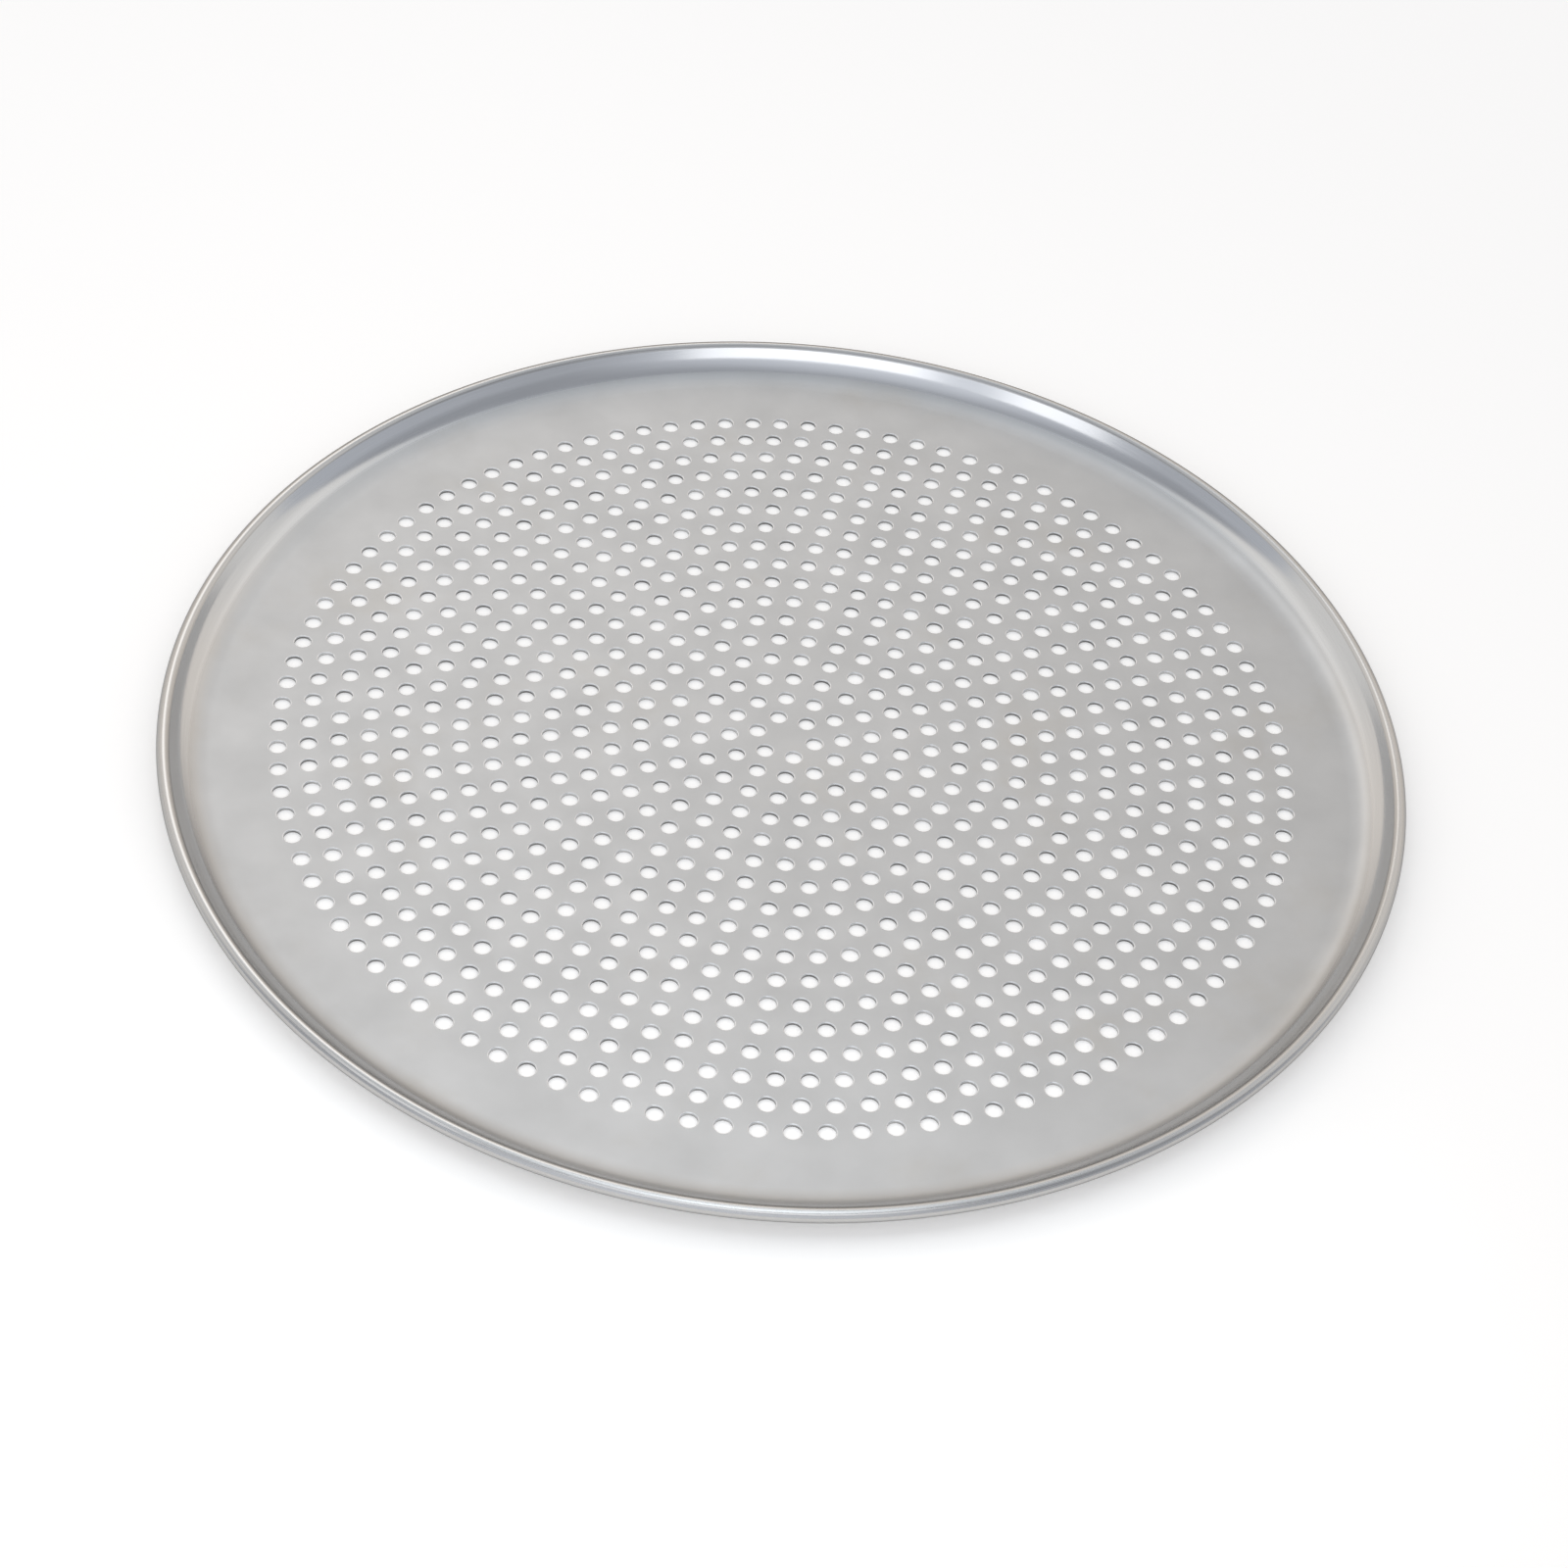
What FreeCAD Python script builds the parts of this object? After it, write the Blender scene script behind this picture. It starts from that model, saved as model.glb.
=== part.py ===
import FreeCAD, Part
import math
import os
import Sketcher

# A round perforated pizza pan: one pressed and punched sheet whose edge is curled outwards over a wire ring.
# The origin is the centre of the underside, +Z is up, and one sector border of the hole pattern lies on +X.

# Driving dimensions: millimetres, degrees for the wall's angle, and one count.
SIZES = {
    "outer_diameter": 355.6,     # across the curled rim
    "overall_height": 9.5,       # from the underside to the top of the rim
    "sheet_thickness": 1.0,
    "wall_angle": 57.0,          # slope of the wall above the floor
    "wall_length": 2.5,          # straight stretch between the cove below and the curl above
    "wire_diameter": 1.6,
    "wire_clearance": 0.2,       # between the wire and the curl, all round
    "curl_gap": 0.4,             # between the curled edge of the sheet and the outside of the wall
    "hole_diameter": 4.76,
    "first_ring_radius": 8.5,    # from the centre of the pan to the first ring's holes
    "second_ring_step": 7.85,    # from the first ring of holes to the second
    "ring_pitch": 8.55,          # from each later ring to the next
    "first_ring_holes": 6,       # the second ring has twice as many, the third three times, and so on
    "plain_border": 12.0,        # least unpunched width between the last holes and the cove
    "punch_overrun": 1.0,        # how far a punch reaches past both faces of the floor
}

# Shared expressions, in the names of the sheet that holds the sizes.
RIM_RADIUS = "(sizes.wire_diameter / 2 + sizes.wire_clearance + sizes.sheet_thickness)"
RIM_CENTRE_RADIUS = f"(sizes.outer_diameter / 2 - {RIM_RADIUS})"
RIM_CENTRE_HEIGHT = f"(sizes.overall_height - {RIM_RADIUS})"

# Names for a sketch's origin, and for the points of its lines and arcs.
ORIGIN = -1
START, END, CENTRE = 1, 2, 3

UP = FreeCAD.Vector(0, 0, 1)


def make_sheet(doc):
    """Put the driving dimensions into a sheet, one named cell each."""
    sheet = doc.addObject("Spreadsheet::Sheet", "sizes")
    for row, (alias, value) in enumerate(SIZES.items(), start=1):
        sheet.set(f"A{row}", alias)
        sheet.set(f"B{row}", str(value))
        sheet.setAlias(f"B{row}", alias)
    doc.recompute()


def origin_feature(body, role):
    """Find one of the body's own planes or axes."""
    return next(feature for feature in body.Origin.OriginFeatures if feature.Role == role)


def new_sketch(body, name, plane):
    """Start a sketch on one of the body's own planes."""
    sketch = body.newObject("Sketcher::SketchObject", name)
    sketch.AttachmentSupport = [(origin_feature(body, plane), "")]
    sketch.MapMode = "FlatFace"
    return sketch


def drive(sketch, name, constraint, expression):
    """Add one dimension to a sketch and bind it to the sheet."""
    index = sketch.addConstraint(constraint)
    sketch.renameConstraint(index, name)
    sketch.setExpression(f"Constraints.{name}", expression)


def direction(angle):
    """Give the unit vector at an angle from the section's outward axis."""
    return FreeCAD.Vector(math.cos(angle), math.sin(angle), 0)


def arc(centre, radius, first, last):
    return Part.ArcOfCircle(Part.Circle(centre, UP, radius), first, last)


def section_centres():
    """Find the cove's and the curl's radii and centres in the pan's section."""
    thickness = SIZES["sheet_thickness"]
    slope = math.radians(SIZES["wall_angle"])
    curl = SIZES["wire_diameter"] / 2 + SIZES["wire_clearance"] + thickness
    curl_centre = FreeCAD.Vector(SIZES["outer_diameter"] / 2 - curl, SIZES["overall_height"] - curl, 0)
    # The cove takes up the height that the floor, the straight wall and the top of the curl leave.
    rise = SIZES["overall_height"] - thickness - SIZES["wall_length"] * math.sin(slope)
    cove = rise / (1 - math.cos(slope)) - curl
    reach = (cove + curl) * math.sin(slope) + SIZES["wall_length"] * math.cos(slope)
    cove_centre = FreeCAD.Vector(curl_centre.x - reach, thickness + cove, 0)
    return cove, cove_centre, curl, curl_centre


def draw_section(body):
    """Draw the sheet's section: floor, cove, sloping wall and curl, one thickness all along."""
    thickness = SIZES["sheet_thickness"]
    slope = math.radians(SIZES["wall_angle"])
    cove, cove_centre, curl, curl_centre = section_centres()
    bore = curl - thickness
    # The curl runs clockwise from the top of the wall until its edge nearly meets the wall's outside.
    curl_start = math.pi / 2 + slope
    curl_end = curl_start + math.acos((bore - SIZES["curl_gap"]) / curl) - 2 * math.pi
    floor_bend = -math.pi / 2
    wall_bend = floor_bend + slope
    across = direction(curl_start)
    tip = direction(curl_end)
    middle = FreeCAD.Vector(0, thickness, 0)
    top_bend = FreeCAD.Vector(cove_centre.x, thickness, 0)
    under_bend = FreeCAD.Vector(cove_centre.x, 0, 0)

    sketch = new_sketch(body, "pan_section", "XZ_Plane")
    (axis, floor_top, cove_in, wall_in, curl_out,
     edge, curl_in, wall_out, cove_out, floor_under) = sketch.addGeometry([
        Part.LineSegment(FreeCAD.Vector(), middle),
        Part.LineSegment(middle, top_bend),
        arc(cove_centre, cove, floor_bend, wall_bend),
        Part.LineSegment(cove_centre - across * cove, curl_centre + across * curl),
        arc(curl_centre, curl, curl_end, curl_start),
        Part.LineSegment(curl_centre + tip * curl, curl_centre + tip * bore),
        arc(curl_centre, bore, curl_end, curl_start),
        Part.LineSegment(curl_centre + across * bore, cove_centre - across * (cove + thickness)),
        arc(cove_centre, cove + thickness, floor_bend, wall_bend),
        Part.LineSegment(under_bend, FreeCAD.Vector()),
    ])
    sketch.addConstraint([
        Sketcher.Constraint("Coincident", axis, START, ORIGIN, START),
        Sketcher.Constraint("Vertical", axis),
        Sketcher.Constraint("Coincident", axis, END, floor_top, START),
        Sketcher.Constraint("Horizontal", floor_top),
        Sketcher.Constraint("Tangent", floor_top, END, cove_in, START),
        Sketcher.Constraint("Tangent", cove_in, END, wall_in, START),
        Sketcher.Constraint("Tangent", wall_in, END, curl_out, END),
        Sketcher.Constraint("Coincident", curl_out, START, edge, START),
        Sketcher.Constraint("PointOnObject", curl_out, CENTRE, edge),
        Sketcher.Constraint("Coincident", edge, END, curl_in, START),
        Sketcher.Constraint("Coincident", curl_in, CENTRE, curl_out, CENTRE),
        Sketcher.Constraint("Tangent", curl_in, END, wall_out, START),
        Sketcher.Constraint("Parallel", wall_in, wall_out),
        Sketcher.Constraint("Tangent", wall_out, END, cove_out, END),
        Sketcher.Constraint("Coincident", cove_out, CENTRE, cove_in, CENTRE),
        Sketcher.Constraint("Tangent", cove_out, START, floor_under, START),
        Sketcher.Constraint("Horizontal", floor_under),
        Sketcher.Constraint("Coincident", floor_under, END, axis, START),
    ])
    drive(sketch, "thickness", Sketcher.Constraint("DistanceY", axis, START, axis, END, thickness),
          "sizes.sheet_thickness")
    drive(sketch, "slope", Sketcher.Constraint("Angle", ORIGIN, START, wall_in, START, slope),
          "sizes.wall_angle * 1 deg")
    drive(sketch, "straight", Sketcher.Constraint("Distance", wall_in, SIZES["wall_length"]),
          "sizes.wall_length")
    drive(sketch, "curl", Sketcher.Constraint("Radius", curl_out, curl), RIM_RADIUS)
    drive(sketch, "reach", Sketcher.Constraint("DistanceX", ORIGIN, START, curl_out, CENTRE, curl_centre.x),
          RIM_CENTRE_RADIUS)
    drive(sketch, "rise", Sketcher.Constraint("DistanceY", ORIGIN, START, curl_out, CENTRE, curl_centre.y),
          RIM_CENTRE_HEIGHT)
    drive(sketch, "gap", Sketcher.Constraint("Distance", edge, START, wall_out, SIZES["curl_gap"]),
          "sizes.curl_gap")
    return sketch


def ring_radius(ring):
    """Give the expression for a ring's radius: the first two rings are closer together than the rest."""
    if ring == 1:
        return "sizes.first_ring_radius"
    return f"(sizes.first_ring_radius + sizes.second_ring_step + {ring - 2} * sizes.ring_pitch)"


def count_rings():
    """Count the rings that fit on the flat floor inside its plain border."""
    second_ring = SIZES["first_ring_radius"] + SIZES["second_ring_step"]
    floor_radius = section_centres()[1].x
    room = floor_radius - SIZES["plain_border"] - SIZES["hole_diameter"] / 2 - second_ring
    return 2 + math.floor(room / SIZES["ring_pitch"])


def make_punches(doc, ring):
    """Make one ring of punches: the first stands half a step from +X, and the rest follow round the pan."""
    body = doc.addObject("PartDesign::Body", f"ring_{ring}_punches")
    sketch = new_sketch(body, f"ring_{ring}_circle", "XY_Plane")
    first_place = FreeCAD.Vector(SIZES["first_ring_radius"], SIZES["first_ring_radius"], 0)
    circle = sketch.addGeometry(Part.Circle(first_place, UP, SIZES["hole_diameter"] / 2))
    holes = f"({ring} * sizes.first_ring_holes)"
    drive(sketch, "bore", Sketcher.Constraint("Diameter", circle, SIZES["hole_diameter"]),
          "sizes.hole_diameter")
    drive(sketch, "along", Sketcher.Constraint("DistanceX", ORIGIN, START, circle, CENTRE, first_place.x),
          f"{ring_radius(ring)} * cos(180 deg / {holes})")
    drive(sketch, "aside", Sketcher.Constraint("DistanceY", ORIGIN, START, circle, CENTRE, first_place.y),
          f"{ring_radius(ring)} * sin(180 deg / {holes})")
    punch = body.newObject("PartDesign::Pad", f"ring_{ring}_punch")
    punch.Profile = sketch
    punch.Midplane = True
    punch.setExpression("Length", "2 * (sizes.sheet_thickness + sizes.punch_overrun)")
    doc.recompute()
    pattern = body.newObject("PartDesign::PolarPattern", f"ring_{ring}_pattern")
    pattern.Originals = [punch]
    pattern.Axis = (origin_feature(body, "Z_Axis"), [""])
    pattern.Angle = 360
    pattern.Refine = False
    pattern.setExpression("Occurrences", holes)
    body.Tip = pattern
    return body


def make_pan_sheet(doc):
    """Press the disc into a pan, then punch its floor ring by ring."""
    body = doc.addObject("PartDesign::Body", "pan_sheet")
    section = draw_section(body)
    pressing = body.newObject("PartDesign::Revolution", "pressing")
    pressing.Profile = section
    pressing.ReferenceAxis = (section, ["V_Axis"])
    pressing.Angle = 360
    rings = count_rings()
    punches = [make_punches(doc, ring) for ring in range(1, rings + 1)]
    doc.recompute()
    punching = body.newObject("PartDesign::Boolean", "punching")
    punching.Type = "Cut"
    punching.Refine = False
    punching.setObjects(punches)
    body.Tip = punching
    doc.recompute()

    holes = SIZES["first_ring_holes"] * rings * (rings + 1) // 2
    slug = math.pi * (SIZES["hole_diameter"] / 2) ** 2 * SIZES["sheet_thickness"]
    punched = (pressing.Shape.Volume - body.Shape.Volume) / slug
    if round(punched) != holes:
        raise ValueError(f"{holes} holes take away the metal of {punched:.2f}")
    print(f"{rings} rings of holes, {holes} in all")
    return body


def make_rim_wire(doc):
    """Make the closed wire ring inside the curl."""
    wire = doc.addObject("Part::Torus", "rim_wire")
    wire.setExpression("Radius1", RIM_CENTRE_RADIUS)
    wire.setExpression("Radius2", "sizes.wire_diameter / 2")
    wire.setExpression("Placement.Base.z", RIM_CENTRE_HEIGHT)
    doc.recompute()
    return wire


def check(doc, pieces):
    """Stop if a feature failed, a sketch is loose, or a piece is not one sound solid."""
    for item in doc.Objects:
        if "Invalid" in item.State or "Error" in item.State:
            raise ValueError(f"{item.Name} failed: {item.State}")
        if item.TypeId == "Sketcher::SketchObject" and not item.FullyConstrained:
            raise ValueError(f"{item.Name} is not fully constrained")
    for piece in pieces:
        shape = piece.Shape
        if shape.isNull() or len(shape.Solids) != 1 or not shape.isValid():
            raise ValueError(f"{piece.Label} is not one sound solid")


def main():
    doc = FreeCAD.newDocument("pizza_pan")
    make_sheet(doc)
    pieces = [make_pan_sheet(doc), make_rim_wire(doc)]
    check(doc, pieces)
    os.makedirs("parts", exist_ok=True)
    for piece in pieces:
        piece.Shape.exportStep(os.path.join("parts", f"{piece.Label}.step"))
        box = piece.Shape.optimalBoundingBox(False)
        print(f"{piece.Label}: {box.XLength:.2f} x {box.YLength:.2f} x {box.ZLength:.2f} mm")


main()
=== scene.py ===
import math

import bpy
import numpy as np
from mathutils import Matrix, Vector
from mathutils.geometry import delaunay_2d_cdt


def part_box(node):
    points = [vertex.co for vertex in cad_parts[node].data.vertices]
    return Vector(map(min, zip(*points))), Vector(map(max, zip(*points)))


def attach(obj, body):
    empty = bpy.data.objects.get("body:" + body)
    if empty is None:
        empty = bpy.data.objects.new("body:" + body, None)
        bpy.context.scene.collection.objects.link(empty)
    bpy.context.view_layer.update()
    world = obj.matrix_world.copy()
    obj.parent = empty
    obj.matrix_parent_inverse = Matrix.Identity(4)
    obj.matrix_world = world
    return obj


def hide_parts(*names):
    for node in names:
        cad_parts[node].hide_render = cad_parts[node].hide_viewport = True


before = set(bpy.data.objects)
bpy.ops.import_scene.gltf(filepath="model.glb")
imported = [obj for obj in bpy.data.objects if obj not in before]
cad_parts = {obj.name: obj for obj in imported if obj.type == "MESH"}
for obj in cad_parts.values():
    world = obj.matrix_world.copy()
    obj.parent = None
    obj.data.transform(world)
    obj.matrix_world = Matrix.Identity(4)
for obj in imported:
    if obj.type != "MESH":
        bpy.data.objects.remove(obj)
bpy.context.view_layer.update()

# A round perforated pizza pan of bare aluminium: a satin punched floor, a low coved wall and a burnished rim
# that is curled outwards over a steel wire. All lengths are in metres.
MM = 0.001

# The pan's sizes. The overall ones come from the frame.
SHEET_LOW, SHEET_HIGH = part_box("pan_sheet")
WIRE_LOW, WIRE_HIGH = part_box("rim_wire")
OUTER_RADIUS = min(SHEET_HIGH.x, SHEET_HIGH.y, -SHEET_LOW.x, -SHEET_LOW.y)
HEIGHT = SHEET_HIGH.z
WIRE_RADIUS = (WIRE_HIGH.z - WIRE_LOW.z) / 2
SHEET = 1.0 * MM
CURL = 2.0 * MM                # radius of the curled rim, outside
WALL_ANGLE = math.radians(57)
WALL_LENGTH = 2.5 * MM
CURL_GAP = 0.4 * MM            # between the curled edge and the outside of the wall
HOLE_RADIUS = 2.38 * MM
RINGS = 17
FIRST_RING_HOLES = 6
FIRST_RING_RADIUS = 8.5 * MM
SECOND_RING_STEP = 7.85 * MM
RING_PITCH = 8.55 * MM

# What a punch leaves: a rounded edge on the food side, a smooth wall, and a torn zone that flares below.
EDGE_ROUND = 0.30 * MM
TORN_HEIGHT = 0.35 * MM
TORN_FLARE = 0.05 * MM

# Mesh fineness.
SECTORS = 6
SEGMENTS = 384                 # round the pan
HOLE_SEGMENTS = 24
ARC_STEP = math.radians(7)     # along the section's arcs
EDGE_STEPS = 3                 # across a hole's rounded edge
MERGE = 1e-6                   # points closer than this are one point
MERGE_SHIFT = 1 / 3            # keeps round coordinates off the borders of the merging grid
FILL_INSIDE = 1                # the way of filling an outline that keeps the triangles inside it
FILL_TOLERANCE = MERGE / 10

# The pan's materials, by their numbers in its mesh.
SHEET_FACE, HOLE_WALL, CURL_FACE, HOLE_EDGE = range(4)

# The section's centres: the cove takes up the height that the floor, the wall and the top of the curl leave.
SIN, COS = math.sin(WALL_ANGLE), math.cos(WALL_ANGLE)
COVE = (HEIGHT - SHEET - WALL_LENGTH * SIN) / (1 - COS) - CURL
CURL_RADIUS, CURL_HEIGHT = OUTER_RADIUS - CURL, HEIGHT - CURL
FLOOR_RADIUS = CURL_RADIUS - (COVE + CURL) * SIN - WALL_LENGTH * COS
COVE_HEIGHT = SHEET + COVE

# The camera, as the photograph shows the pan. The pixel is where the centre of the underside lies.
# The sensor and the lens are in millimetres.
IMAGE_SIZE = 1600
CENTRE_PIXEL = (801.7, 754.6)
CAMERA_AZIMUTH = math.radians(-19.03)
CAMERA_ELEVATION = math.radians(44.73)
CAMERA_ROLL = math.radians(6.03)
CAMERA_DISTANCE = 888 * MM
SENSOR = 36.0
LENS = 70.73
CLIP_START = 10 * MM

RIGHT = Vector((math.cos(CAMERA_AZIMUTH), math.sin(CAMERA_AZIMUTH), 0))
AWAY = Vector((-math.sin(CAMERA_AZIMUTH), math.cos(CAMERA_AZIMUTH), 0))
UP = Vector((0, 0, 1))


def studio(right, away, up):
    """Give a place as the camera sees the studio: to its right, away from it, and up."""
    return RIGHT * right + AWAY * away + UP * up


def make_camera():
    forward = AWAY * math.cos(CAMERA_ELEVATION) - UP * math.sin(CAMERA_ELEVATION)
    level_up = RIGHT.cross(forward)
    across = RIGHT * math.cos(CAMERA_ROLL) + level_up * math.sin(CAMERA_ROLL)
    upright = level_up * math.cos(CAMERA_ROLL) - RIGHT * math.sin(CAMERA_ROLL)
    metres_per_pixel = CAMERA_DISTANCE * SENSOR / (LENS * IMAGE_SIZE)
    aside = (CENTRE_PIXEL[0] - IMAGE_SIZE / 2) * metres_per_pixel
    above = (IMAGE_SIZE / 2 - CENTRE_PIXEL[1]) * metres_per_pixel
    place = -forward * CAMERA_DISTANCE - across * aside - upright * above

    lens = bpy.data.cameras.new("camera")
    lens.sensor_width = SENSOR
    lens.lens = LENS
    lens.clip_start = CLIP_START
    camera = bpy.data.objects.new("camera", lens)
    turn = Matrix((across, upright, -forward)).transposed().to_4x4()
    camera.matrix_world = Matrix.Translation(place) @ turn
    bpy.context.collection.objects.link(camera)
    bpy.context.scene.camera = camera


# Mesh building. A patch is points, the surface's normal at each of them, faces, and a material's number.

def lathe(stations, turns, material=0):
    """Turn a strip of (radius, height, outward normal, upward normal) stations about the pan's axis."""
    radius, height, outward, upward = np.array(stations).T
    angle = np.arange(turns) * (2 * math.pi / turns)
    cos, sin = np.cos(angle)[:, None], np.sin(angle)[:, None]
    points = np.stack([cos * radius, sin * radius, np.ones_like(cos) * height], axis=2)
    normals = np.stack([cos * outward, sin * outward, np.ones_like(cos) * upward], axis=2)
    return points.reshape(-1, 3), normals.reshape(-1, 3), strip_faces(turns, len(stations)), material


def strip_faces(turns, stations):
    """Number the four-sided faces between neighbouring turns and stations of a closed strip."""
    turn, station = np.meshgrid(np.arange(turns), np.arange(stations - 1), indexing="ij")
    here, there = turn * stations + station, (turn + 1) % turns * stations + station
    return np.stack([here, there, there + 1, here + 1], axis=2).reshape(-1, 4)


def arc_stations(centre_radius, centre_height, radius, first, last, facing):
    """Give stations along an arc of the section. Facing is 1 for its outside and -1 for its inside."""
    steps = max(2, math.ceil(abs(last - first) / ARC_STEP))
    angles = [first + (last - first) * step / steps for step in range(steps + 1)]
    return [(centre_radius + radius * math.cos(angle), centre_height + radius * math.sin(angle),
             facing * math.cos(angle), facing * math.sin(angle)) for angle in angles]


def rim_patches():
    """Make the cove, the wall and the curl: the food side, the curled edge, then the outside."""
    bore = CURL - SHEET
    floor_bend = -math.pi / 2
    wall_bend = floor_bend + WALL_ANGLE
    curl_start = math.pi / 2 + WALL_ANGLE
    curl_end = curl_start + math.acos((bore - CURL_GAP) / CURL) - 2 * math.pi
    curl = arc_stations(CURL_RADIUS, CURL_HEIGHT, CURL, curl_start, curl_end, 1)
    inside = arc_stations(FLOOR_RADIUS, COVE_HEIGHT, COVE, floor_bend, wall_bend, -1) + curl[:1]
    outside = arc_stations(CURL_RADIUS, CURL_HEIGHT, bore, curl_end, curl_start, -1)
    outside += arc_stations(FLOOR_RADIUS, COVE_HEIGHT, COVE + SHEET, wall_bend, floor_bend, 1)
    along = (math.sin(curl_end), -math.cos(curl_end))
    edge = [(*curl[-1][:2], *along), (*outside[0][:2], *along)]
    strips = (inside, SHEET_FACE), (curl, CURL_FACE), (edge, CURL_FACE), (outside, SHEET_FACE)
    return [lathe(stations, SEGMENTS, material) for stations, material in strips]


def hole_centres(sector):
    """List the holes of one sector. Ring n has n holes there, half a step away from the sector's borders."""
    centres = []
    for ring in range(1, RINGS + 1):
        radius = FIRST_RING_RADIUS
        if ring > 1:
            radius += SECOND_RING_STEP + (ring - 2) * RING_PITCH
        holes = ring * FIRST_RING_HOLES // SECTORS
        for hole in range(holes):
            angle = (sector + (hole + 0.5) / holes) * 2 * math.pi / SECTORS
            centres.append((radius * math.cos(angle), radius * math.sin(angle)))
    return np.array(centres)


def unit_circle():
    angle = np.arange(HOLE_SEGMENTS) * (2 * math.pi / HOLE_SEGMENTS)
    return np.stack([np.cos(angle), np.sin(angle)], axis=1)


def closed_loop(first, count):
    return [(first + step, first + (step + 1) % count) for step in range(count)]


def sector_border():
    """Give the outline of one sector of the flat floor: out along a border, round its arc, and back."""
    steps = round(FLOOR_RADIUS / RING_PITCH)
    radii = np.arange(steps + 1) * (FLOOR_RADIUS / steps)
    turns = SEGMENTS // SECTORS
    angles = np.arange(turns + 1) * (2 * math.pi / SEGMENTS)
    out = [(radius, 0) for radius in radii[:-1]]
    arc = [(FLOOR_RADIUS * math.cos(angle), FLOOR_RADIUS * math.sin(angle)) for angle in angles]
    end = 2 * math.pi / SECTORS
    back = [(radius * math.cos(end), radius * math.sin(end)) for radius in radii[-2:0:-1]]
    return np.array(out + arc + back)


def plate_patches(height, hole_radius, facing):
    """Make one side of the flat floor, with a hole of that radius round every hole's centre."""
    border = sector_border()
    loops = hole_centres(0)[:, None, :] + unit_circle()[None] * hole_radius
    points = np.concatenate([border, loops.reshape(-1, 2)])
    edges = closed_loop(0, len(border))
    for loop in range(len(loops)):
        edges += closed_loop(len(border) + loop * HOLE_SEGMENTS, HOLE_SEGMENTS)
    made = delaunay_2d_cdt([Vector(point) for point in points], edges, [], FILL_INSIDE, FILL_TOLERANCE)
    made_faces, origins = made[2:4]
    source = np.array([origin[0] for origin in origins])
    triangles = source[np.array(made_faces)]
    # A triangle whose corners all lie on one hole's edge fills that hole.
    loop = np.where(triangles < len(border), -1 - triangles, (triangles - len(border)) // HOLE_SEGMENTS)
    triangles = triangles[(loop != loop[:, :1]).any(axis=1)]

    patches = []
    for sector in range(SECTORS):
        turn = sector * 2 * math.pi / SECTORS
        spin = np.array([[math.cos(turn), math.sin(turn)], [-math.sin(turn), math.cos(turn)]])
        solid = np.column_stack([points @ spin, np.full(len(points), height)])
        normals = np.tile([0.0, 0.0, facing], (len(points), 1))
        patches.append((solid, normals, triangles, SHEET_FACE))
    return patches


def hole_stations():
    """Give the three strips of a hole's side: the rounded edge, the smooth wall and the torn zone."""
    rounding = [step / EDGE_STEPS * math.pi / 2 for step in range(EDGE_STEPS + 1)]
    edge = [(HOLE_RADIUS + EDGE_ROUND * (1 - math.sin(angle)), SHEET - EDGE_ROUND * (1 - math.cos(angle)),
             -math.sin(angle), math.cos(angle)) for angle in rounding]
    wall = [(HOLE_RADIUS, SHEET - EDGE_ROUND, -1, 0), (HOLE_RADIUS, TORN_HEIGHT, -1, 0)]
    slant = math.atan2(TORN_FLARE, TORN_HEIGHT)
    lean = (-math.cos(slant), -math.sin(slant))
    torn = [(HOLE_RADIUS, TORN_HEIGHT, *lean), (HOLE_RADIUS + TORN_FLARE, 0, *lean)]
    return (edge, HOLE_EDGE), (wall, HOLE_WALL), (torn, HOLE_WALL)


def hole_patches():
    """Line every hole with its strips."""
    centres = np.concatenate([hole_centres(sector) for sector in range(SECTORS)])
    offsets = np.column_stack([centres, np.zeros(len(centres))])
    patches = []
    for stations, material in hole_stations():
        points, normals, faces, material = lathe(stations, HOLE_SEGMENTS, material)
        count = len(points)
        all_points = (offsets[:, None, :] + points[None]).reshape(-1, 3)
        all_normals = np.tile(normals, (len(centres), 1))
        all_faces = (np.arange(len(centres))[:, None, None] * count + faces[None]).reshape(-1, 4)
        patches.append((all_points, all_normals, all_faces, material))
    return patches


def join_patches(name, patches, materials):
    """Make one mesh of patches, joining points that coincide and keeping each patch's own normals."""
    points = np.concatenate([patch[0] for patch in patches])
    cells = np.floor(points / MERGE + MERGE_SHIFT).astype(np.int64)
    places, index = np.unique(cells, axis=0, return_inverse=True)
    joined = np.zeros((len(places), 3))
    joined[index.ravel()] = points
    faces, normals, slots = [], [], []
    start = 0
    for patch_points, patch_normals, patch_faces, material in patches:
        corners = patch_points[patch_faces]
        flat = np.cross(corners[:, 1] - corners[:, 0], corners[:, 2] - corners[:, 0])
        wrong = (flat * patch_normals[patch_faces].mean(axis=1)).sum(axis=1) < 0
        turned = np.where(wrong[:, None], patch_faces[:, ::-1], patch_faces)
        faces += index.ravel()[turned + start].tolist()
        normals.append(patch_normals[turned].reshape(-1, 3))
        slots.append(np.full(len(turned), material))
        start += len(patch_points)
    mesh = bpy.data.meshes.new(name)
    mesh.from_pydata(joined.tolist(), [], faces, shade_flat=False)
    for material in materials:
        mesh.materials.append(material)
    mesh.polygons.foreach_set("material_index", np.concatenate(slots).astype(np.int32))
    mesh.normals_split_custom_set(np.concatenate(normals).tolist())
    piece = bpy.data.objects.new(name, mesh)
    bpy.context.collection.objects.link(piece)
    return piece


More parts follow.
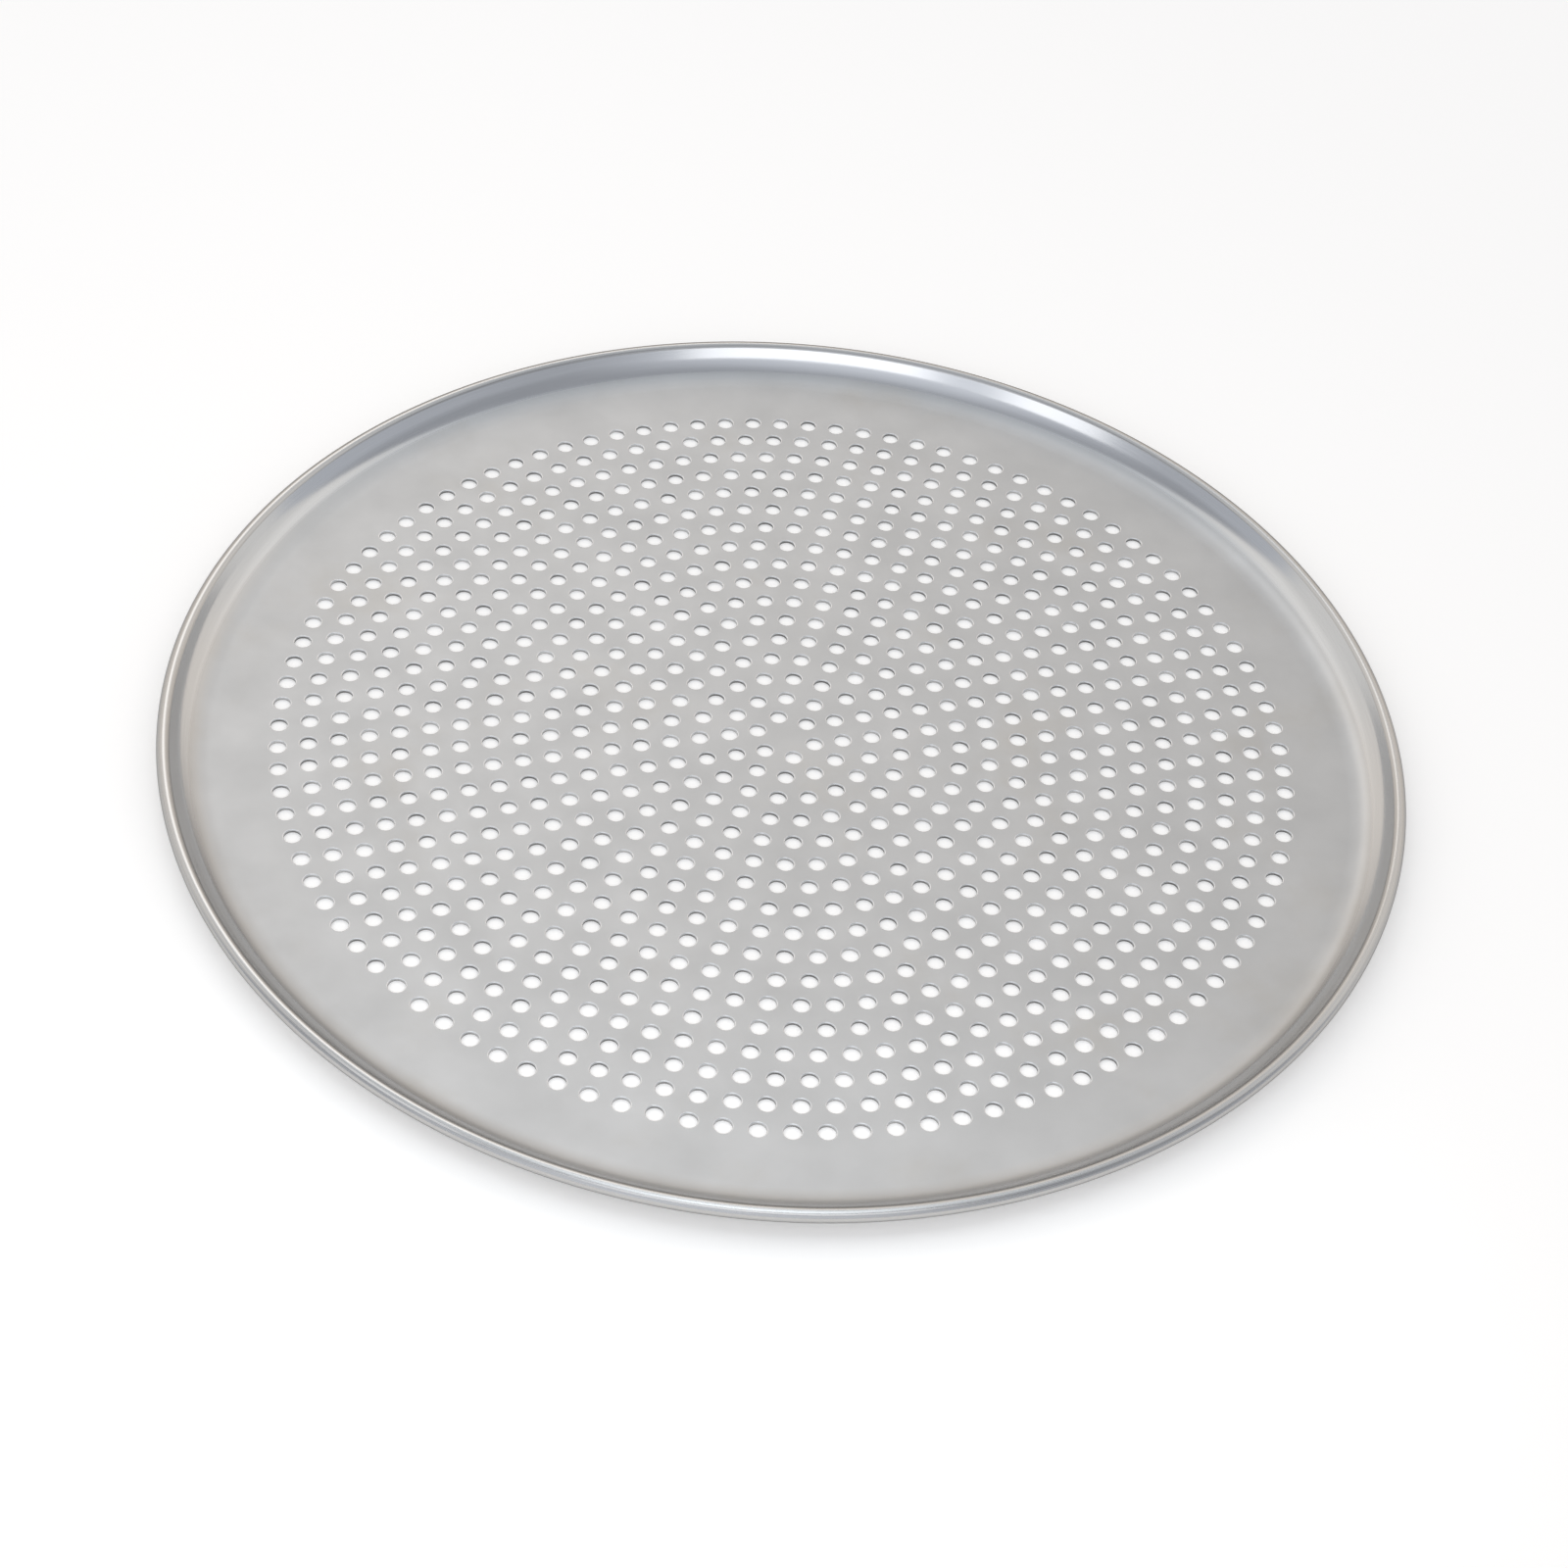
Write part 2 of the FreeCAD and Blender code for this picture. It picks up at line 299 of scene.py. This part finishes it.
def make_pan():
    patches = plate_patches(SHEET, HOLE_RADIUS + EDGE_ROUND, 1.0)
    patches += plate_patches(0.0, HOLE_RADIUS + TORN_FLARE, -1.0)
    patches += hole_patches() + rim_patches()
    materials = [sheet_aluminium(), punched_edge(), curl_aluminium(), rolled_edge()]
    pan = join_patches("perforated_pan", patches, materials)
    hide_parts("pan_sheet")
    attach(pan, "root")


def make_wire():
    section = arc_stations(CURL_RADIUS, CURL_HEIGHT, WIRE_RADIUS, 0, 2 * math.pi, 1)
    wire = join_patches("curl_wire", [lathe(section, SEGMENTS)], [drawn_steel()])
    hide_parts("rim_wire")
    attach(wire, "root")


# Materials. A node's inputs are numbers, colours, or the outputs of other nodes.

class Shader:
    """The node tree of a material or of the world, whose nodes are added one by one."""

    def __init__(self, owner, surface):
        owner.use_nodes = True
        self.owner = owner
        self.nodes = owner.node_tree.nodes
        self.links = owner.node_tree.links
        self.surface = self.nodes[surface]

    def fill(self, node, inputs):
        for name, value in inputs.items():
            socket = node.inputs[name]
            if isinstance(value, bpy.types.NodeSocket):
                self.links.new(value, socket)
            else:
                socket.default_value = value

    def add(self, kind, inputs, output=0, **settings):
        node = self.nodes.new(kind)
        for name, value in settings.items():
            setattr(node, name, value)
        self.fill(node, inputs)
        return node.outputs[output]

    def math(self, operation, first, second=0.0):
        return self.add("ShaderNodeMath", {0: first, 1: second}, operation=operation)

    def noise(self, vector, scale, detail, roughness=0.5):
        return self.add("ShaderNodeTexNoise", {"Vector": vector, "Scale": scale, "Detail": detail,
                                               "Roughness": roughness})

    def remap(self, value, low, high, to_low, to_high):
        return self.add("ShaderNodeMapRange", {"Value": value, "From Min": low, "From Max": high,
                                               "To Min": to_low, "To Max": to_high},
                        interpolation_type="SMOOTHSTEP")

    def blend(self, factor, first, second):
        """Mix two colours, which are the node's inputs 6 and 7."""
        return self.add("ShaderNodeMix", {0: factor, 6: first, 7: second}, output=2, data_type="RGBA")

    def between(self, factor, first, second):
        """Mix two numbers, which are the node's inputs 2 and 3."""
        return self.add("ShaderNodeMix", {0: factor, 2: first, 3: second}, data_type="FLOAT")

    def stretched(self, vector, scale):
        return self.add("ShaderNodeVectorMath", {0: vector, 1: scale}, operation="MULTIPLY")

    def along(self, vector, axis):
        """Give how far a direction points along an axis."""
        return self.add("ShaderNodeVectorMath", {0: vector, 1: axis}, output="Value",
                        operation="DOT_PRODUCT")

    def bump(self, height, distance, strength, under=None):
        inputs = {"Height": height, "Distance": distance, "Strength": strength}
        if under:
            inputs["Normal"] = under
        return self.add("ShaderNodeBump", inputs)

    def place(self):
        return self.add("ShaderNodeTexCoord", {}, output="Object")

    def round_place(self, place):
        """Give (radius, angle, height) about the pan's axis, and the radius by itself."""
        split = self.nodes.new("ShaderNodeSeparateXYZ")
        self.links.new(place, split.inputs[0])
        x, y, z = split.outputs
        squares = self.math("ADD", self.math("MULTIPLY", x, x), self.math("MULTIPLY", y, y))
        radius = self.math("SQRT", squares)
        angle = self.math("ARCTAN2", y, x)
        return self.add("ShaderNodeCombineXYZ", {0: radius, 1: angle, 2: z}), radius

    def finish(self, inputs):
        self.fill(self.surface, inputs)
        return self.owner


def new_material(name):
    return Shader(bpy.data.materials.new(name), "Principled BSDF")


def cove_radius(slope):
    """Give the radius at which the cove has risen to a slope, in degrees."""
    return FLOOR_RADIUS + COVE * math.sin(math.radians(slope))


# Up the cove the satin of the floor grows smoother, and then gives way to a brighter spun finish.
SMOOTH_START, SMOOTH_END = cove_radius(10), cove_radius(34)
SPUN_START, SPUN_END = cove_radius(30), cove_radius(36)

# A stretch says how fine a noise is: steps to a metre along x, y and z, or else steps to a metre along the
# radius, to a radian round the pan and to a metre of height. A depth is the height of a noise.
GRAIN_STRETCH = (160.0, 4200.0, 1000.0)
STREAK_STRETCH = (5200.0, 9.0, 5200.0)
EDGE_STRETCH = (2600.0, 2600.0, 700.0)
STROKE_STRETCH = (6000.0, 6000.0, 900.0)
WIRE_STRETCH = (9000.0, 14.0, 9000.0)
GRAIN_DEPTH = 0.004 * MM
STREAK_DEPTH = 0.006 * MM
MARK_DEPTH = 0.01 * MM
STROKE_DEPTH = 0.02 * MM

SATIN_DARK = (0.50, 0.498, 0.494, 1)
SATIN_LIGHT = (0.59, 0.59, 0.59, 1)
STAIN_COLOUR = (0.50, 0.48, 0.45, 1)
STAIN_SHARE = 0.5
SATIN_ROUGHEST = 0.60
SATIN_SMOOTHEST = 0.50
COVE_ROUGHNESS = 0.30
# A hole's wall: the two dark colours are painted shade inside the holes, the other two are its bare metal.
PAINTED_SHADE_DULL = (0.12, 0.118, 0.116, 1)
PAINTED_SHADE_BRIGHT = (0.30, 0.297, 0.294, 1)
BARE_DULL = (0.42, 0.417, 0.413, 1)
BARE_BRIGHT = (0.70, 0.697, 0.693, 1)


def aluminium(name, dull, bright, smoothest, roughest, grazing_tint):
    """Bare sheet: cloudy satin with a fine rolling grain on the floor, spun streaks on the wall and curl."""
    shader = new_material(name)
    place = shader.place()
    polar, radius = shader.round_place(place)
    smooth = shader.remap(radius, SMOOTH_START, SMOOTH_END, 0.0, 1.0)
    burnished = shader.remap(radius, SPUN_START, SPUN_END, 0.0, 1.0)

    cloud = shader.noise(place, scale=45.0, detail=4.0, roughness=0.55)
    grain = shader.noise(shader.stretched(place, GRAIN_STRETCH), scale=1.0, detail=2.0)
    streak = shader.noise(shader.stretched(polar, STREAK_STRETCH), scale=1.0, detail=3.0)
    stain = shader.noise(place, scale=21.0, detail=5.0, roughness=0.6)
    stain = shader.remap(stain, low=0.52, high=0.75, to_low=0.0, to_high=STAIN_SHARE)

    satin = shader.blend(cloud, SATIN_DARK, SATIN_LIGHT)
    satin = shader.blend(stain, satin, STAIN_COLOUR)
    spun_colour = shader.blend(streak, dull, bright)
    satin_roughness = shader.between(cloud, SATIN_ROUGHEST, SATIN_SMOOTHEST)
    satin_roughness = shader.between(smooth, satin_roughness, COVE_ROUGHNESS)
    spun_roughness = shader.between(streak, smoothest, roughest)

    grained = shader.bump(grain, GRAIN_DEPTH, strength=0.35)
    spun = shader.math("MULTIPLY", streak, burnished)
    return shader.finish({
        "Base Color": shader.blend(burnished, satin, spun_colour),
        "Roughness": shader.between(burnished, satin_roughness, spun_roughness),
        "Metallic": 1.0,
        "Specular Tint": grazing_tint,
        "Normal": shader.bump(spun, STREAK_DEPTH, strength=0.5, under=grained),
    })


def sheet_aluminium():
    return aluminium("pan_aluminium", dull=(0.56, 0.562, 0.566, 1), bright=(0.64, 0.642, 0.646, 1),
                     smoothest=0.14, roughest=0.22, grazing_tint=(1, 1, 1, 1))


def curl_aluminium():
    """The same metal on the curl, which is handled and dulls where it is seen edge on."""
    return aluminium("curl_aluminium", dull=(0.46, 0.452, 0.442, 1), bright=(0.56, 0.552, 0.542, 1),
                     smoothest=0.22, roughest=0.32, grazing_tint=(0.45, 0.45, 0.45, 1))


def marked_metal(shader, marks, dark, light, smoothest, roughest, depth, strength):
    """Finish a bare metal whose colour, roughness and height all follow its marks."""
    return shader.finish({
        "Base Color": shader.blend(marks, dark, light),
        "Roughness": shader.between(marks, smoothest, roughest),
        "Metallic": 1.0,
        "Normal": shader.bump(marks, depth, strength),
    })


def rolled_edge():
    """The rounded edge that the punch draws into a hole: burnished, with faint marks across it."""
    shader = new_material("rolled_edge")
    marks = shader.noise(shader.stretched(shader.place(), EDGE_STRETCH), scale=1.0, detail=2.0)
    return marked_metal(shader, marks, dark=(0.62, 0.62, 0.62, 1), light=(0.74, 0.74, 0.74, 1),
                        smoothest=0.26, roughest=0.40, depth=MARK_DEPTH, strength=0.5)


def punched_edge():
    """The sheared wall of a hole, with marks along the punch's stroke. In some holes, picked at random, it
    is darkened with painted shade.
    """
    shader = new_material("punched_edge")
    place = shader.place()
    marks = shader.noise(shader.stretched(place, STROKE_STRETCH), scale=1.0, detail=2.0)
    # A random mask: where it is low, a hole's wall gets painted shade, and where it is high, bare metal.
    unshaded = shader.noise(place, scale=70.0, detail=1.0)
    unshaded = shader.remap(unshaded, low=0.35, high=0.65, to_low=0.0, to_high=1.0)
    dull = shader.blend(unshaded, PAINTED_SHADE_DULL, BARE_DULL)
    bright = shader.blend(unshaded, PAINTED_SHADE_BRIGHT, BARE_BRIGHT)
    return marked_metal(shader, marks, dull, bright, smoothest=0.42, roughest=0.62,
                        depth=STROKE_DEPTH, strength=0.6)


def drawn_steel():
    """Drawn steel wire, with fine lines along its length."""
    shader = new_material("wire_steel")
    polar = shader.round_place(shader.place())[0]
    lines = shader.noise(shader.stretched(polar, WIRE_STRETCH), scale=1.0, detail=3.0)
    return marked_metal(shader, lines, dark=(0.42, 0.43, 0.45, 1), light=(0.60, 0.61, 0.63, 1),
                        smoothest=0.28, roughest=0.45, depth=MARK_DEPTH, strength=0.5)


# The studio: a white floor in a pale tent that is open towards the camera, where the room is darker. A level
# is a brightness, where 1 is white.
STAGE_SIZE = 40.0
STAGE_GAP = 0.02 * MM          # keeps the stage off the pan's underside
STAGE_COLOUR = (0.885, 0.862, 0.832, 1)
STAGE_ROUGHNESS = 0.9
STAGE_GLOW = 0.25
TENT_LOW_LEVEL = 0.62
TENT_SIDE_LEVEL = 0.92         # low down at the sides
TENT_MIDDLE_LEVEL = 1.08
TENT_HIGH_LEVEL = 0.78
TENT_FOOT_LEVEL = 0.30         # near the floor at the rear
TENT_LOW_TINT = (1.045, 0.98, 0.915, 1)
TENT_SIDE_TINT = (1.0, 0.985, 0.965, 1)
TENT_HIGH_TINT = (0.94, 0.995, 1.06, 1)
ROOM_LOW_LEVEL = 0.65
ROOM_HIGH_LEVEL = 0.46
ROOM_GLOW = 0.52               # added behind the windows
ROOM_TINT = (0.93, 0.975, 1.06, 1)


def make_stage():
    """Lay a matt white floor that keeps the pan's shadow, with a little glow of its own where it is seen."""
    bpy.ops.mesh.primitive_plane_add(size=STAGE_SIZE, location=(0, 0, -STAGE_GAP))
    floor = bpy.context.object
    floor.name = "stage_floor"
    shader = new_material("stage_white")
    path = shader.nodes.new("ShaderNodeLightPath").outputs
    seen = shader.math("MAXIMUM", path["Is Camera Ray"], path["Is Glossy Ray"])
    seen = shader.math("MAXIMUM", seen, path["Is Transmission Ray"])
    floor.data.materials.append(shader.finish({
        "Base Color": STAGE_COLOUR,
        "Roughness": STAGE_ROUGHNESS,
        "Specular IOR Level": 0.0,
        "Emission Color": (1, 1, 1, 1),
        "Emission Strength": shader.math("MULTIPLY", seen, STAGE_GLOW),
    }))


# The tent's front edge: which way the tent lies, how far the edge draws back at the sides, and its softness.
TENT_FACING = studio(-0.09, 1.0, 0.20)
TENT_NARROWING = 0.21
TENT_EDGE = 0.03
GLOW_FACING = studio(-0.15, -0.85, 0.5)

# Where one level or tint gives way to the next: how far a direction points up, away or towards the glow.
FOOT_UP = (0.05, 0.30)
FOOT_AWAY = (0.85, 0.97)
SIDE_AWAY = (0.75, 0.95)
MIDDLE_UP = (0.30, 0.60)
HIGH_UP = (0.60, 0.95)
WARM_AWAY = (0.40, 0.75)
COOL_UP = (0.62, 0.95)
ROOM_UP = (0.25, 0.60)
GLOW_SPAN = (0.60, 1.06)


def make_surround():
    """Light the pan from the tent, dimmer at its foot and its top, and from the room behind the camera."""
    world = bpy.data.worlds.new("surround")
    shader = Shader(world, "Background")
    direction = shader.add("ShaderNodeTexCoord", {}, output="Generated")
    up = shader.along(direction, UP)
    away = shader.along(direction, AWAY)
    aside = shader.math("ABSOLUTE", shader.along(direction, RIGHT))
    inside = shader.along(direction, TENT_FACING)
    inside = shader.math("SUBTRACT", inside, shader.math("MULTIPLY", aside, TENT_NARROWING))
    tent = shader.remap(inside, -TENT_EDGE, TENT_EDGE, 0.0, 1.0)

    tint = shader.blend(shader.remap(away, *WARM_AWAY, 0.0, 1.0), TENT_SIDE_TINT, TENT_LOW_TINT)
    tint = shader.blend(shader.remap(up, *COOL_UP, 0.0, 1.0), tint, TENT_HIGH_TINT)
    foot = shader.remap(up, *FOOT_UP, 1.0, 0.0)
    foot = shader.math("MULTIPLY", foot, shader.remap(away, *FOOT_AWAY, 0.0, 1.0))
    low_level = shader.remap(away, *SIDE_AWAY, TENT_SIDE_LEVEL, TENT_LOW_LEVEL)
    tent_level = shader.remap(up, *MIDDLE_UP, low_level, TENT_MIDDLE_LEVEL)
    tent_level = shader.between(shader.remap(up, *HIGH_UP, 0.0, 1.0), tent_level, TENT_HIGH_LEVEL)
    tent_level = shader.between(foot, tent_level, TENT_FOOT_LEVEL)

    room_level = shader.remap(up, *ROOM_UP, ROOM_LOW_LEVEL, ROOM_HIGH_LEVEL)
    glow = shader.remap(shader.along(direction, GLOW_FACING), *GLOW_SPAN, 0.0, ROOM_GLOW)
    room_level = shader.math("ADD", room_level, glow)
    shader.finish({
        "Color": shader.blend(tent, ROOM_TINT, tint),
        "Strength": shader.between(tent, room_level, tent_level),
    })
    bpy.context.scene.world = world


OPEN_SPREAD = 180              # of a softbox without a grid, in degrees
WHITE = (1.0, 1.0, 1.0)


def softbox(name, place, aim, width, depth, brightness, spread=OPEN_SPREAD, tint=WHITE):
    """Hang a rectangular softbox that faces a point. Its brightness is that of its face, where 1 is white.

    A grid narrows its light to a spread, in degrees, and dims its face away from the middle of that.
    """
    half = math.radians(spread / 2)
    lamp = bpy.data.lights.new(name, "AREA")
    lamp.shape = "RECTANGLE"
    lamp.size = width
    lamp.size_y = depth
    lamp.spread = math.radians(spread)
    lamp.color = tint
    lamp.energy = brightness * math.pi * width * depth * (1 - half / math.tan(half))
    box = bpy.data.objects.new(name, lamp)
    back = (place - aim).normalized()
    upright = AWAY if abs(back.z) > abs(back.dot(AWAY)) else UP
    across = upright.cross(back).normalized()
    turn = Matrix((across, back.cross(across), back)).transposed().to_4x4()
    box.matrix_world = Matrix.Translation(place) @ turn
    bpy.context.collection.objects.link(box)


# Over the front rim an arch of gridded boxes makes its white line. Each has a tilt towards the rear, in
# degrees, and a brightness.
ARCH_BOXES = ("front_box", -5, 3.4), ("middle_box", 13, 2.2), ("rear_box", 31, 0.5)
ARCH_RADIUS = 0.40
ARCH_WIDTH = 0.34
ARCH_DEPTH = 0.126
ARCH_SPREAD = 30
COOL_TINT = (0.93, 1.0, 1.06)
FRONT_RIM = studio(-0.04, -0.185, 0.009)
REAR_RIM = studio(0.0, 0.17, 0.0)
LEFT_FLOOR = studio(-0.15, 0.0, 0.0)


def make_lights():
    """Hang the arch, a box for the left of the floor, and two windows that the rear wall mirrors."""
    for name, tilt, brightness in ARCH_BOXES:
        lean = math.radians(tilt)
        place = FRONT_RIM + studio(0.0, math.sin(lean) * ARCH_RADIUS, math.cos(lean) * ARCH_RADIUS)
        softbox(name, place, FRONT_RIM, ARCH_WIDTH, ARCH_DEPTH, brightness, ARCH_SPREAD, COOL_TINT)
    softbox("left_box", studio(-0.30, 0.72, 0.85), LEFT_FLOOR,
            width=0.55, depth=0.55, brightness=1.7, spread=44)
    softbox("left_window", studio(-0.30, -0.23, 0.295), REAR_RIM, width=0.16, depth=0.15, brightness=1.0)
    softbox("front_window", studio(0.02, -0.355, 0.315), REAR_RIM, width=0.36, depth=0.13, brightness=1.0)


bpy.context.scene.view_settings.view_transform = "Standard"
make_camera()
make_pan()
make_wire()
make_stage()
make_surround()
make_lights()
